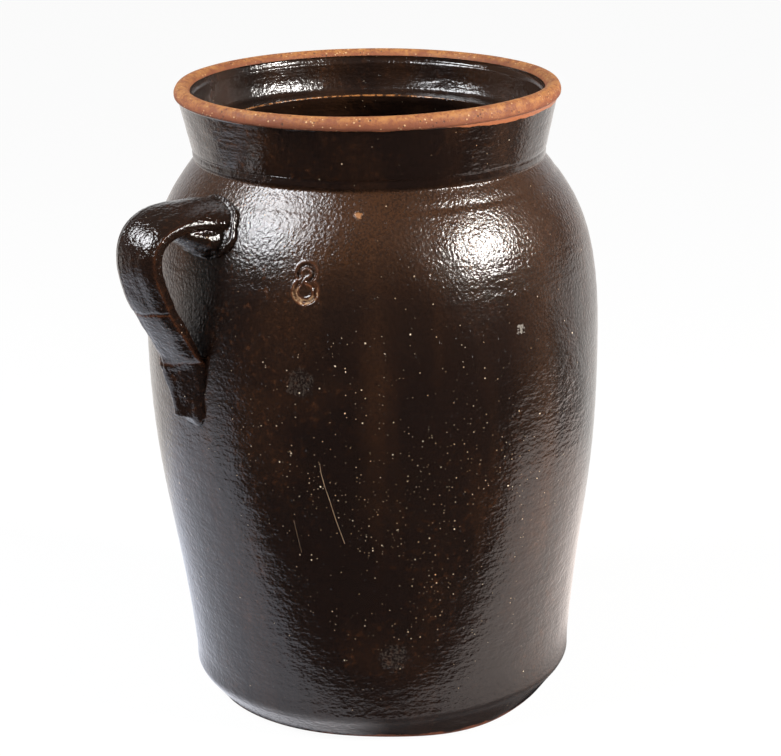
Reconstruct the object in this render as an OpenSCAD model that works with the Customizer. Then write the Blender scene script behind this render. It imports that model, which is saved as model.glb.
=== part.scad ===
// Stoneware churn: an open turned jar with a lid ledge in its collar and one strap handle.
// The jar stands on the floor at z = 0, its axis is Z, and the handle points along -X.

/* [Jar] */
// Diameter of the flat foot that the jar stands on
foot_d = 190; // [150:1:220]
// How far the bevel around the foot widens the base, up to the top of the floor
bevel_out = 10; // [4:0.5:14]
// Thickness of the floor
floor_t = 12; // [8:0.5:18]
// Height of the heel, from the top of the floor to where the straight wall starts
heel_rise = 12; // [6:0.5:20]
// How far the heel widens the jar beyond the base
heel_out = 3; // [0:0.5:6]
// Diameter at the widest line of the belly
belly_d = 251; // [220:1:300]
// Height of the widest line above the table
belly_h = 204.5; // [150:0.5:280]
// Height of the shoulder, from the widest line to the neck
shoulder_h = 99.5; // [70:0.5:130]
// Diameter of the neck, where the collar stands on the shoulder
neck_d = 192; // [160:1:215]
// Thickness of the turned wall
wall_t = 9; // [6:0.5:13]

/* [Collar and rim] */
// Height of the collar with its rim, from the neck to the top
collar_h = 42.5; // [34:0.5:60]
// How far the collar flares outwards from the neck to the rim
collar_flare = 7.5; // [2:0.5:10]
// Height of the bead around the foot of the collar
bead_h = 4; // [2:0.5:6]
// How far the bead stands out from the neck
bead_out = 1; // [0.5:0.25:2]
// Height of the bare rim
rim_h = 8; // [6:0.5:11]
// How far the rim overhangs the top of the collar
rim_overhang = 1.5; // [0.5:0.5:6]
// Depth of the lid ledge below the top of the rim
ledge_depth = 24.5; // [20:0.5:28]
// Width of the lid ledge
ledge_w = 10.5; // [6:0.5:14]
// Thickness of the lid ledge at its inner edge
ledge_t = 4; // [3:0.5:6]
// How far the lid gallery's round wall lies inside the neck's outer radius
gallery_inset = 5.5; // [4:0.5:8]
// Height of the lid gallery's upright wall above the ledge
gallery_h = 10; // [6:0.5:11]
// How far the inside opens from the gallery to the rim
mouth_flare = 4; // [2:0.5:6]

/* [Handle] */
// Width of the strap
strap_w = 31; // [24:1:38]
// Thickness of the strap
strap_t = 9.5; // [7:0.5:13]
// How far the strap's outer face stands out beyond the belly
strap_stand = 35; // [30:0.5:50]
// Height of the root's centre below the neck
root_drop = 21.5; // [18:0.5:27]
// How deep the root starts inside the shoulder, before it is trimmed to it
root_sink = 5; // [4:0.5:8]
// Width of the thumbed-out root on the shoulder
root_w = 43; // [34:1:54]
// Thickness of the thumbed-out root on the shoulder
root_t = 28; // [20:0.5:32]
// How far the strap's arch pulls up above the root
arch_rise = 16; // [12:0.5:20]
// Height of the strap's outermost point below the neck
elbow_drop = 32; // [26:1:44]
// Height below the neck where the strap meets the wall
meet_drop = 95; // [80:1:115]
// Length of the flattened tail below that
tail_len = 26; // [18:1:40]
// Width of the tail's end
tail_w = 22; // [18:1:32]
// Thickness of the tail's end
tail_t = 6; // [5:0.5:10]
// How much of the tail's thickness is pressed into the wall
tail_press = 1.5; // [1:0.25:2.5]

/* [Hidden] */
$fn = 96;

// Clay colours
glaze_brown = [0.16, 0.10, 0.07];
bare_clay = [0.71, 0.43, 0.24];

// Radii and heights that follow from the sizes above
foot_r = foot_d / 2;
chine_r = foot_r + bevel_out;
heel_r = chine_r + heel_out;
heel_h = floor_t + heel_rise;
inner_heel_r = heel_r - wall_t;
belly_r = belly_d / 2;
neck_r = neck_d / 2;
neck_h = belly_h + shoulder_h;
top_h = neck_h + collar_h;
rim_base_h = top_h - rim_h;
collar_top_r = neck_r + collar_flare;
rim_r = collar_top_r + rim_overhang;
ledge_h = top_h - ledge_depth;
gallery_r = neck_r - gallery_inset;
throat_r = gallery_r - ledge_w;
mouth_r = gallery_r + mouth_flare;

// Shape of the turned outline: its slope (radius over height) at three places, and its fullness as shares
chine_slope = 0.35;
heel_slope = 0.057;
neck_slope = -0.79;
heel_fullness = 0.37;
belly_fullness_below = 0.42;
belly_fullness_above = 0.62;
neck_fullness = 0.215;
heel_pull = heel_fullness * (belly_h - heel_h);
belly_pull_down = belly_fullness_below * (belly_h - heel_h);
belly_pull_up = belly_fullness_above * shoulder_h;
neck_pull = neck_fullness * shoulder_h;

// Shape of the rim's lip: where its top lies between its edges, and how soon its inside turns down
lip_top_share = 0.62;
lip_turn_share = 0.35;

// Shape of the handle's line, as shares of its reach, its rise and its fall
arch_reach_share = 0.33;
arch_rise_share = 0.7;
fall_share = 0.33;
fall_lean_share = 0.3;
root_share = 0.42;

// Fineness of the curves
long_steps = 12;
short_steps = 6;
section_sides = 24;
// How far the strap's section is from an ellipse (1) towards a rectangle (0)
section_flatness = 0.55;

// Point at t on the cubic curve with end points a, d and handles b, c
function bezier(a, b, c, d, t) =
    pow(1 - t, 3) * a + 3 * pow(1 - t, 2) * t * b + 3 * (1 - t) * t * t * c + pow(t, 3) * d;
// Points along that curve from t0 to t1
function curve(a, b, c, d, steps, t0 = 0, t1 = 1) =
    [for (i = [0 : steps]) bezier(a, b, c, d, t0 + (t1 - t0) * i / steps)];
// A smooth run between two points (radius, height) that leaves and arrives at the given slopes
function run(a, slope_a, d, slope_d, pull_a, pull_d, steps) =
    curve(a, a + pull_a * [slope_a, 1], d - pull_d * [slope_d, 1], d, steps);
function reversed(list) = [for (i = [len(list) - 1 : -1 : 0]) list[i]];

// The turned outline in (radius, height), shared by the wall sections and by what is trimmed to them
bevel = run([foot_r, 0], 1, [chine_r, floor_t], chine_slope, floor_t / 3, floor_t / 3, short_steps);
heel_line = run(
    [chine_r, floor_t], chine_slope, [heel_r, heel_h], heel_slope, heel_rise / 3, heel_rise / 3, short_steps);
lower_line = run(
    [heel_r, heel_h], heel_slope, [belly_r, belly_h], 0, heel_pull, belly_pull_down, long_steps);
upper_line = run(
    [belly_r, belly_h], 0, [neck_r, neck_h], neck_slope, belly_pull_up, neck_pull, long_steps);

// The same outline on the inside, one wall thickness in
inner_lower_line = run(
    [inner_heel_r, heel_h], heel_slope, [belly_r - wall_t, belly_h], 0, heel_pull, belly_pull_down, long_steps);
inner_upper_line = run(
    [belly_r - wall_t, belly_h], 0, [neck_r - wall_t, neck_h], neck_slope,
    belly_pull_up - wall_t / 2, neck_pull + wall_t / 2, long_steps);
inner_corner = [for (i = [0 : short_steps])
    let (a = 90 * i / short_steps)
    [inner_heel_r - heel_rise * (1 - cos(a)), heel_h - heel_rise * sin(a)]];

// Outer radius of the jar's wall at a height
wall_table = [for (p = concat(lower_line, upper_line)) [p[1], p[0]]];
function wall_r(z) = lookup(z, wall_table);

// The handle's centre line in (radius, height): an arch from root to elbow, a fall to the wall, and a tail
root_h = neck_h - root_drop;
meet_h = neck_h - meet_drop;
tail_h = meet_h - tail_len;
root_start = [wall_r(root_h) - root_sink, root_h];
elbow = [belly_r + strap_stand - strap_t / 2, neck_h - elbow_drop];
meet = [wall_r(meet_h) + (strap_t + tail_press) / 2, meet_h];
tail_end = [wall_r(tail_h) + tail_t / 2 - tail_press, tail_h];
arch_pull = root_start + [arch_reach_share * (elbow[0] - root_start[0]), arch_rise_share * arch_rise];
elbow_pull = [elbow[0], root_h + arch_rise];
fall = fall_share * (elbow[1] - meet_h);
fall_pull = elbow - [0, fall];
meet_pull = meet + [fall_lean_share * (elbow[0] - meet[0]), fall];
tail_pull = meet - [tail_press, tail_len / 3];
end_pull = tail_end + [0, tail_len / 3];
root_line = curve(root_start, arch_pull, elbow_pull, elbow, short_steps, 0, root_share);
arch_line = curve(root_start, arch_pull, elbow_pull, elbow, long_steps, root_share, 1);
fall_line = curve(elbow, fall_pull, meet_pull, meet, long_steps);
strap_line = concat(arch_line, [for (i = [1 : long_steps]) fall_line[i]]);
tail_line = curve(meet, tail_pull, end_pull, tail_end, short_steps);
// Directions in which the strap leaves the root and reaches the tail
strap_first = arch_line[1] - root_line[short_steps - 1];
strap_last = meet - meet_pull;

// A cross section of the strap, flatter than an ellipse, as (across, outwards)
function signed_pow(x, p) = sign(x) * pow(abs(x), p);
function strap_section(w, t) = [for (i = [0 : section_sides - 1])
    let (a = 360 * i / section_sides)
    [w / 2 * signed_pow(cos(a), section_flatness), t / 2 * signed_pow(sin(a), section_flatness)]];

// Directions along a line, level with each point's neighbours, and as given at the ends
function unit(v) = v / norm(v);
function headings(line, first, last) = [for (i = [0 : len(line) - 1])
    unit(i == 0 ? first : i == len(line) - 1 ? last : line[i + 1] - line[i - 1])];
// Values that ease from a to b, one for each point of a line
function eased(a, b, line) = [for (i = [0 : len(line) - 1])
    let (s = i / (len(line) - 1))
    a + (b - a) * s * s * (3 - 2 * s)];

// Sweeps the strap's section along a line in the handle's plane
module sweep(line, directions, widths, thicknesses) {
    rings = len(line);
    points = [for (i = [0 : rings - 1])
        let (out = [-directions[i][1], directions[i][0]])
        for (s = strap_section(widths[i], thicknesses[i]))
        [-(line[i][0] + out[0] * s[1]), s[0], line[i][1] + out[1] * s[1]]];
    sides = [for (i = [0 : rings - 2], k = [0 : section_sides - 1])
        let (a = i * section_sides + k)
        let (b = i * section_sides + (k + 1) % section_sides)
        each [[a, b, b + section_sides], [a, b + section_sides, a + section_sides]]];
    first_cap = [for (k = [section_sides - 1 : -1 : 0]) k];
    last_cap = [for (k = [0 : section_sides - 1]) (rings - 1) * section_sides + k];
    polyhedron(points, concat(sides, [first_cap, last_cap]));
}

// The jar as a filled body, for trimming the handle's ends to its wall
module jar_fill() {
    rotate_extrude()
        polygon(concat(lower_line, upper_line, [[0, neck_h], [0, heel_h]]));
}

module base() {
    color(glaze_brown)
        rotate_extrude()
            polygon(concat(bevel, [[0, floor_t], [0, 0]]));
}

module lower_wall() {
    color(glaze_brown)
        rotate_extrude()
            polygon(concat(heel_line, lower_line, reversed(inner_lower_line), inner_corner));
}

module upper_wall() {
    color(glaze_brown)
        rotate_extrude()
            polygon(concat(upper_line, reversed(inner_upper_line)));
}

module collar() {
    color(glaze_brown)
        rotate_extrude()
            polygon([
                [neck_r, neck_h],
                [neck_r + bead_out, neck_h + bead_h / 3],
                [neck_r + bead_out, neck_h + bead_h * 2 / 3],
                [neck_r, neck_h + bead_h],
                [collar_top_r, rim_base_h],
                [mouth_r, rim_base_h],
                [gallery_r, ledge_h + gallery_h],
                [gallery_r, ledge_h],
                [throat_r, ledge_h],
                [throat_r, ledge_h - ledge_t],
                [neck_r - wall_t, neck_h],
            ]);
}

module rim() {
    top_r = mouth_r + (collar_top_r - mouth_r) * lip_top_share;
    // Handle radius that makes the lip exactly as wide as the rim at its middle
    lip_r = (8 * rim_r - collar_top_r - top_r) / 6;
    outer_lip = curve(
        [collar_top_r, rim_base_h], [lip_r, rim_base_h], [lip_r, top_h], [top_r, top_h], short_steps);
    inner_lip = curve(
        [top_r, top_h], [mouth_r, top_h], [mouth_r, top_h - rim_h * lip_turn_share],
        [mouth_r, rim_base_h], short_steps);
    color(bare_clay)
        rotate_extrude()
            polygon(concat(outer_lip, inner_lip));
}

module strap_handle() {
    color(glaze_brown)
        sweep(
            strap_line, headings(strap_line, strap_first, strap_last),
            eased(strap_w, strap_w, strap_line), eased(strap_t, strap_t, strap_line));
}

module handle_root() {
    color(glaze_brown)
        difference() {
            sweep(
                root_line, headings(root_line, arch_pull - root_start, strap_first),
                eased(root_w, strap_w, root_line), eased(root_t, strap_t, root_line));
            jar_fill();
        }
}

module handle_tail() {
    color(glaze_brown)
        difference() {
            sweep(
                tail_line, headings(tail_line, strap_last, tail_end - end_pull),
                eased(strap_w, tail_w, tail_line), eased(strap_t, tail_t, tail_line));
            jar_fill();
        }
}

base();
lower_wall();
upper_wall();
collar();
rim();
strap_handle();
handle_root();
handle_tail();
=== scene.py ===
"""Looks of the stoneware churn: a turned jar in dark slip glaze, with a bare clay rim and a strap handle.

Shapes are worked out in millimetres, around the jar's axis, and become metres when a mesh is made.
"""
import math
from functools import reduce

import bpy
import numpy as np
from mathutils import Matrix, Vector, noise


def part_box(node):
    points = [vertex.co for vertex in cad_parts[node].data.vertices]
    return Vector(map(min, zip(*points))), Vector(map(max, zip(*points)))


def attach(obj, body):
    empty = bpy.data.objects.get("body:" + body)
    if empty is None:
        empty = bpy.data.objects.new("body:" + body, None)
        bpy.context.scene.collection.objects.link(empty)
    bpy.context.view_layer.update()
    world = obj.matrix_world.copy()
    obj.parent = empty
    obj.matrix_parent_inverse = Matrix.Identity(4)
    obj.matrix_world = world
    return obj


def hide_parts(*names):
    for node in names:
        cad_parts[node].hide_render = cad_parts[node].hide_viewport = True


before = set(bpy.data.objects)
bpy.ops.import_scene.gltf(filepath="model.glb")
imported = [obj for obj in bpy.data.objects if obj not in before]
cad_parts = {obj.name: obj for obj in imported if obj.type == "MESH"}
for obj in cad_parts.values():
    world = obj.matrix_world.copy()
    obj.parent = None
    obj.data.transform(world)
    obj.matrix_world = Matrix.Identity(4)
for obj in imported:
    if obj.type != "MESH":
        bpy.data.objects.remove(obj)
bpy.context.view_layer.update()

MM = 0.001


def corners(node):
    """Lowest and highest corner of a CAD node, in millimetres."""
    low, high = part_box(node)
    return np.array(low) / MM, np.array(high) / MM


# Sizes that the frame gives
chine_r, _, floor_t = corners("base")[1]
belly_r, _, belly_h = corners("lower_wall")[1]
neck_h = corners("upper_wall")[1][2]
collar_top_r = corners("collar")[1][0]
rim_r, _, top_h = corners("rim")[1]
strap_reach = -corners("strap_handle")[0][0]
strap_half_w = corners("strap_handle")[1][1]

# Sizes of the turned jar that the frame's boxes don't show
foot_r = 95.0
heel_r = 108.0
heel_h = 24.0
neck_r = 96.0
wall_t = 9.0
gallery_r = 90.5
throat_r = 80.0
ledge_h = 322.0
ledge_t = 4.0

# Camera, in the photograph's own frame: X to the right, Y away from the viewer, Z up
view_turn = math.radians(-40)
camera_side = 8.9
camera_back = 1345.5
camera_height = 593.1
camera_pitch = math.radians(17.25)
camera_roll = math.radians(-1.6)
focal_pixels = 2510
image_width = 781
sensor_width = 36.0

# The rim is not quite level: it falls to the right of the photograph
rim_tilt = -0.0165
tilt_from_h = 230.0
tilt_full_h = 305.0
neck_shift = 0.8

# Wobble of the surface: its depth, the size of its swells and a seed
wall_wobble = (0.45, 70.0, 3)
rim_wobble = (0.15, 30.0, 5)

# Turning rings as waves (depth, pitch, phase), which climb as they go round, and a groove below the neck
outer_rings = [(0.018, 6.3, 0), (0.03, 10.7, 1)]
inner_rings = [(0.22, 9.0, 0), (0.12, 15.0, 0)]
ring_climb = 3.0
groove_deep = 0.28
groove_wide = 1.8
groove_drop = 8.5
groove_turn = 0.5

view_right = (math.cos(view_turn), math.sin(view_turn))
view_angle = view_turn - math.pi / 2


def smooth(x, low, high):
    """An eased rise from 0 at low to 1 at high, held outside them; low may be the larger."""
    t = np.clip((x - low) / (high - low), 0, 1)
    return t * t * (3 - 2 * t)


def bump_at(x, centre, width):
    """A bell of height 1 around a centre."""
    return np.exp(-((x - centre) / width) ** 2)


def lumps(points, size, seed):
    """A smooth random field in about -1 to 1, with features of the given size, at points."""
    start = Vector((seed, seed * 1.7, seed * 0.3))
    return np.array([noise.noise(Vector(p) / size + start) for p in points])


def bezier(a, b, c, d, steps):
    """Points along a cubic curve with end points a, d and handles b, c."""
    a, b, c, d = (np.array(p, float) for p in (a, b, c, d))
    t = np.linspace(0, 1, steps + 1)[:, None]
    return (1 - t) ** 3 * a + 3 * (1 - t) ** 2 * t * b + 3 * (1 - t) * t ** 2 * c + t ** 3 * d


def run(start, start_slope, end, end_slope, start_pull, end_pull):
    """A smooth run between two points (radius, height) that leaves and arrives at the given slopes."""
    leave = (start[0] + start_pull * start_slope, start[1] + start_pull)
    arrive = (end[0] - end_pull * end_slope, end[1] - end_pull)
    return bezier(start, leave, arrive, end, 80)


def rounded(points, steps=6):
    """A line through points (radius, height, rounding), with each corner rounded off."""
    spots = np.array([p[:2] for p in points], float)
    line = [spots[0]]
    for i in range(1, len(points) - 1):
        before = spots[i - 1] - spots[i]
        after = spots[i + 1] - spots[i]
        reach = min(points[i][2], 0.49 * np.linalg.norm(before), 0.49 * np.linalg.norm(after))
        first = spots[i] + before / np.linalg.norm(before) * reach
        last = spots[i] + after / np.linalg.norm(after) * reach
        for t in np.linspace(0, 1, steps + 1):
            line.append((1 - t) ** 2 * first + 2 * t * (1 - t) * spots[i] + t ** 2 * last)
    line.append(spots[-1])
    return np.array(line)


def directions(line):
    """Unit vectors along a line, at its points."""
    along = np.gradient(line, axis=0)
    return along / np.linalg.norm(along, axis=1)[:, None]


def spaced(line, step):
    """The same line with points an even step apart; step may be a function of height."""
    lengths = np.concatenate([[0], np.cumsum(np.linalg.norm(np.diff(line, axis=0), axis=1))])
    fine = np.linspace(0, lengths[-1], 2000)
    heights = np.interp(fine, lengths, line[:, 1])
    density = np.array([1 / (step(height) if callable(step) else step) for height in heights])
    count = np.concatenate([[0], np.cumsum((density[1:] + density[:-1]) / 2 * np.diff(fine))])
    at = np.interp(np.linspace(0, count[-1], max(2, round(count[-1])) + 1), count, fine)
    return np.stack([np.interp(at, lengths, line[:, k]) for k in range(2)], axis=1)


# The turned outline, from the middle of the underside, up the outside, over the rim and down the inside

heel_slope = 0.085
heel_in = 0.9
neck_slope = -0.79
heel_pull = 0.37 * (belly_h - heel_h)
belly_pull_down = 0.42 * (belly_h - heel_h)
belly_pull_up = 0.62 * (neck_h - belly_h)
neck_pull = 0.215 * (neck_h - belly_h)
inner_heel_r = heel_r - wall_t
foot_lobe = 6.0
foot_lobe_left = math.radians(-26)
foot_lobe_spread = math.radians(22)
foot_lobe_inset = 14.0
corner_r = heel_h - floor_t
rim_tall = 7.3
rim_top = top_h + rim_tilt * rim_r
rim_low = rim_top - rim_tall
rim_swell = 1.3
rim_swell_left = math.radians(-52)
rim_swell_spread = math.radians(36)
pole_r = 4.0

# The impressed capacity figure: two bowls, one above the other, whose curled ends nearly close them.
# A bowl is its radius as a share of the height, 1 if upper or -1 if lower, and its first and last degrees
figure_bowls = [(0.215, 1, 205, -75), (0.285, -1, 80, -225)]
figure_left = math.radians(16.2)
figure_h = 262.0
figure_tall = 18.8
figure_stretch = 1.0343
figure_reach = figure_tall * 0.65
figure_deep = 1.0
figure_stroke = 1.05
figure_lip = 0.45
figure_lip_wide = 0.5
lip_thin = 0.45
# The paler glaze over the figure's lower half is partly a painted highlight
low_half_thin_and_highlight = 0.85

# Spacing of the rows on the shoulder
figure_step = 0.55
neck_step = 0.9
neck_band = 12.0
shoulder_step = 1.6


def step_upper(height):
    """Row spacing at a height on the shoulder: fine at the figure and near the neck."""
    if abs(height - figure_h) < figure_reach:
        return figure_step
    return neck_step if height > neck_h - neck_band else shoulder_step


def jar_outline():
    """Sections of the outline in order, each as (name, points)."""
    underside = rounded([
        (pole_r, 0.9, 0), (foot_r * 0.8, 0.8, 6), (foot_r - 4, 0, 3), (foot_r - 1.0, 0, 0)])
    bevel = rounded([
        (foot_r - 1.0, 0, 0), (foot_r + 0.9, 0.3, 1.2), (foot_r + 1.6, 1.4, 0.8),
        (chine_r + 0.2, floor_t, 0)])
    heel = rounded([
        (chine_r + 0.2, floor_t, 0), (heel_r - 1.0, floor_t + 3.2, 1.4), (heel_r - 1.0, floor_t + 7.0, 2.0),
        (heel_r - heel_in, heel_h, 0)])
    lower = run((heel_r - heel_in, heel_h), heel_slope, (belly_r, belly_h), 0, heel_pull, belly_pull_down)
    upper = run((belly_r, belly_h), 0, (neck_r, neck_h), neck_slope, belly_pull_up, neck_pull)
    collar_out = rounded([
        (neck_r, neck_h, 0), (neck_r - 0.2, neck_h + 0.7, 0.6), (neck_r + 0.7, neck_h + 1.6, 0.8),
        (neck_r + 0.8, neck_h + 4.6, 0.7), (neck_r + 0.4, neck_h + 5.4, 0.5),
        (neck_r + 1.2, neck_h + 6.4, 1.0), (collar_top_r - 0.3, rim_low - 0.6, 0.8),
        (collar_top_r - 0.1, rim_low, 0)])
    rim = rounded([
        (collar_top_r - 0.1, rim_low, 0), (rim_r - 0.2, rim_low + 0.9, 0.9), (rim_r, rim_low + 3.4, 2.0),
        (rim_r - 1.6, rim_top - 0.8, 2.4), (rim_r - 4.4, rim_top, 2.4), (rim_r - 7.6, rim_top - 1.2, 2.0),
        (rim_r - 9.2, rim_top - 3.6, 0)])
    collar_in = rounded([
        (rim_r - 9.2, rim_top - 3.6, 0), (rim_r - 9.9, rim_top - 6.6, 0.5),
        (rim_r - 10.7, rim_top - 7.2, 0.5), (rim_r - 11.0, ledge_h + 6.5, 2.0),
        (gallery_r + 1.7, ledge_h - 0.2, 2.0), (throat_r, ledge_h - 0.5, 1.2),
        (throat_r + 0.3, ledge_h - ledge_t, 2.5), (neck_r - wall_t, neck_h, 0)])
    inner_upper = run(
        (belly_r - wall_t, belly_h), 0, (neck_r - wall_t, neck_h), neck_slope,
        belly_pull_up - wall_t / 2, neck_pull + wall_t / 2)[::-1]
    inner_lower = run(
        (inner_heel_r, heel_h), heel_slope, (belly_r - wall_t, belly_h), 0, heel_pull, belly_pull_down)[::-1]
    turn = np.linspace(0, math.pi / 2, 24)
    corner = np.stack([
        inner_heel_r - corner_r * (1 - np.cos(turn)), heel_h - corner_r * np.sin(turn)], axis=1)
    floor_line = np.array([[inner_heel_r - corner_r, floor_t], [pole_r, floor_t]])
    sections = [
        ("underside", underside, 4), ("bevel", bevel, 1.0), ("heel", heel, 1.2), ("lower", lower, 1.9),
        ("upper", upper, step_upper), ("collar_out", collar_out, 0.6), ("rim", rim, 0.5),
        ("collar_in", collar_in, 0.8), ("inner_upper", inner_upper, 2.4),
        ("inner_lower", inner_lower, 2.8), ("corner", corner, 2), ("floor", floor_line, 5)]
    return [(name, spaced(line, step)) for name, line, step in sections]


outline = []
section_rows = {}
for section, points in jar_outline():
    begin = max(0, len(outline) - 1)
    outline.extend(points if not outline else points[1:])
    section_rows[section] = (begin, len(outline) - 1)
outline = np.array(outline)
outer_last = section_rows["upper"][1]
wall_line = outline[section_rows["heel"][0]:outer_last + 1]


def wall_r(height):
    """Radius of the outside wall at a height, up to the neck."""
    return np.interp(height, wall_line[:, 1], wall_line[:, 0])


def wall_angle(left):
    """Angle around the axis of a place left of the camera's direction, both in radians."""
    return view_angle - left


def wobble(spots, depth, size, seed):
    """How far the surface lies inside the turned outline, at places on that outline."""
    return depth * (lumps(spots, size, seed) - 1)


def settled(x, y, height):
    """Moves and tilts the upper part of the jar as its neck and rim stand; returns x, y and z."""
    rise = smooth(height, tilt_from_h, tilt_full_h)
    x = x + neck_shift * rise * view_right[0]
    y = y + neck_shift * rise * view_right[1]
    return x, y, height + rim_tilt * (x * view_right[0] + y * view_right[1]) * rise


def off_wall(angle, height, stand):
    """Point off the turned wall, from an angle around the axis, a height and a distance."""
    lean = (wall_r(height + 1) - wall_r(height - 1)) / 2
    out = stand / np.hypot(1, lean)
    reach = wall_r(height) + out
    return reach * np.cos(angle), reach * np.sin(angle), height - lean * out


def wall_point(left_degrees, height):
    """Place on the outside wall, in metres, from degrees left of the camera's direction and a height."""
    angle = wall_angle(math.radians(left_degrees))
    stand = wobble([off_wall(angle, height, 0)], *wall_wobble)[0]
    return Vector(settled(*off_wall(angle, height, stand))) * MM


# Columns of the grid: even around the jar, finer across the figure

coarse_column = math.radians(0.9)
fine_column = math.radians(0.3)
figure_angle = wall_angle(figure_left)
figure_half = math.radians(4.2)
columns = np.concatenate([
    np.arange(figure_angle - figure_half, figure_angle + figure_half, fine_column),
    np.linspace(
        figure_angle + figure_half, figure_angle - figure_half + 2 * math.pi,
        round((2 * math.pi - 2 * figure_half) / coarse_column), endpoint=False),
])


def figure_strokes():
    """Centre line of the figure, as (across, up) from its middle: the upper bowl, then the lower one."""
    bowls = []
    for share, side, first, last in figure_bowls:
        radius = figure_tall * share
        middle = side * (figure_tall / 2 - radius)
        turn = np.radians(np.linspace(first, last, 30))
        bowls.append(np.stack([
            figure_stretch * radius * np.cos(turn), middle + radius * np.sin(turn)], axis=1))
    return np.vstack(bowls)


def distance_to_line(points, line):
    """Least distance of each point from a line of straight pieces."""
    best = np.full(len(points), np.inf)
    for a, b in zip(line[:-1], line[1:]):
        along = b - a
        t = np.clip((points - a) @ along / (along @ along), 0, 1)
        best = np.minimum(best, np.linalg.norm(points - a - t[:, None] * along, axis=1))
    return best


def turning_rings(spiral, waves):
    """Turning rings at places along the potter's spiral."""
    return sum(depth * np.sin(spiral * 2 * math.pi / pitch + phase) for depth, pitch, phase in waves)


def jar_relief():
    """How far the surface lies off the turned outline: wobble, turning rings and marks."""
    radius = outline[:, :1]
    height = outline[:, 1:]
    row = np.arange(len(outline))[:, None]
    spots = np.stack([
        radius * np.cos(columns), radius * np.sin(columns), height + 0 * columns], axis=-1).reshape(-1, 3)
    shape = (len(outline), len(columns))
    outside = (row > section_rows["underside"][1]) & (row < section_rows["collar_out"][1])
    inside = row > section_rows["rim"][1]
    wall, lip = (wobble(spots, *kind).reshape(shape) for kind in (wall_wobble, rim_wobble))
    lift = np.where(outside | inside, wall, lip)
    spiral = height + ring_climb * columns / math.pi
    lift = lift + np.where(outside, turning_rings(spiral, outer_rings), 0)
    lift = lift + np.where(inside & (height < neck_h), turning_rings(spiral, inner_rings), 0)
    groove_side = smooth(np.cos(columns - view_angle - groove_turn), -0.2, 0.8)
    groove = groove_deep * bump_at(height, neck_h - groove_drop, groove_wide) * groove_side
    lift = lift - np.where(outside & (row < outer_last), groove, 0)
    pressed = smooth(figure_away, figure_stroke * 1.3, figure_stroke * 0.4)
    raised = bump_at(figure_away, figure_stroke * 1.8, figure_lip_wide)
    return lift - figure_deep * pressed + figure_lip * raised


def thin_glaze():
    """How thin the glaze runs on the turned surface: round the figure's strokes, and over its lower half,
    where the pale colour is partly a painted highlight.
    """
    lip = bump_at(figure_away, figure_stroke * 1.6, figure_lip_wide)
    low_half = smooth(figure_h - outline[:, 1:], -4, 5)
    return lip_thin * lip + low_half_thin_and_highlight * low_half * smooth(figure_away, 1.9, 0.9)


def away_from_figure():
    """Distance of the grid's points from the figure's strokes, and endless elsewhere."""
    distance = np.full((len(outline), len(columns)), np.inf)
    first, last = section_rows["upper"]
    rows = [i for i in range(first, last) if abs(outline[i, 1] - figure_h) < figure_reach]
    cols = np.where(np.abs(columns - figure_angle) < figure_half)[0]
    place = outline[rows]
    lean = math.hypot(*(place[-1] - place[0])) / (place[-1, 1] - place[0, 1])
    across = (columns[cols] - figure_angle) * place[:, :1]
    up = (place[:, 1:] - figure_h) * lean + 0 * across
    spots = np.stack([across, up], axis=-1).reshape(-1, 2)
    distance[np.ix_(rows, cols)] = distance_to_line(spots, figure_strokes()).reshape(across.shape)
    return distance


def bell_around(left, spread):
    """A bell of height 1 at the grid's columns, around a place left of the camera's direction."""
    return bump_at(np.angle(np.exp(1j * (columns - wall_angle(left)))), 0, spread)


def jar_grid():
    """Points and normals of the turned surface, in rows along the outline and columns around it."""
    along = directions(outline)
    lift = jar_relief()
    radius = outline[:, :1] + along[:, 1:] * lift
    height = np.maximum(outline[:, 1:] - along[:, :1] * lift, 0)
    foot_edge = smooth(height, floor_t, 1.0) * smooth(radius, foot_r - foot_lobe_inset, foot_r)
    radius = radius + foot_lobe * foot_edge * bell_around(foot_lobe_left, foot_lobe_spread)
    rim_rise = rim_swell * bell_around(rim_swell_left, rim_swell_spread)
    height = height + rim_rise * smooth(height, rim_low, rim_top)
    points = np.stack(settled(radius * np.cos(columns), radius * np.sin(columns), height), axis=-1)
    around = np.roll(points, -1, axis=1) - np.roll(points, 1, axis=1)
    normals = np.cross(around, np.gradient(points, axis=0))
    normals /= np.maximum(np.linalg.norm(normals, axis=2), 1e-9)[:, :, None]
    return points, normals


def placed(name, data):
    """A new object in the scene."""
    made = bpy.data.objects.new(name, data)
    bpy.context.scene.collection.objects.link(made)
    return made


def add_piece(name, points, faces, thin, material, nodes, normals=None):
    """Makes a piece from millimetre points, puts it on the root body and hides the nodes that it stands for.
    """
    mesh = bpy.data.meshes.new(name)
    mesh.from_pydata((points * MM).tolist(), [], faces, shade_flat=False)
    if normals is not None:
        mesh.normals_split_custom_set_from_vertices(normals.tolist())
    mesh.attributes.new("thin", "FLOAT", "POINT").data.foreach_set("value", thin)
    mesh.materials.append(material)
    piece = placed(name, mesh)
    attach(piece, "root")
    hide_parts(*nodes)


def quads(low, high, count):
    """Faces between two closed rows of points, each row given by the number of its first point."""
    return [(low + k, low + (k + 1) % count, high + (k + 1) % count, high + k) for k in range(count)]


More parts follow.
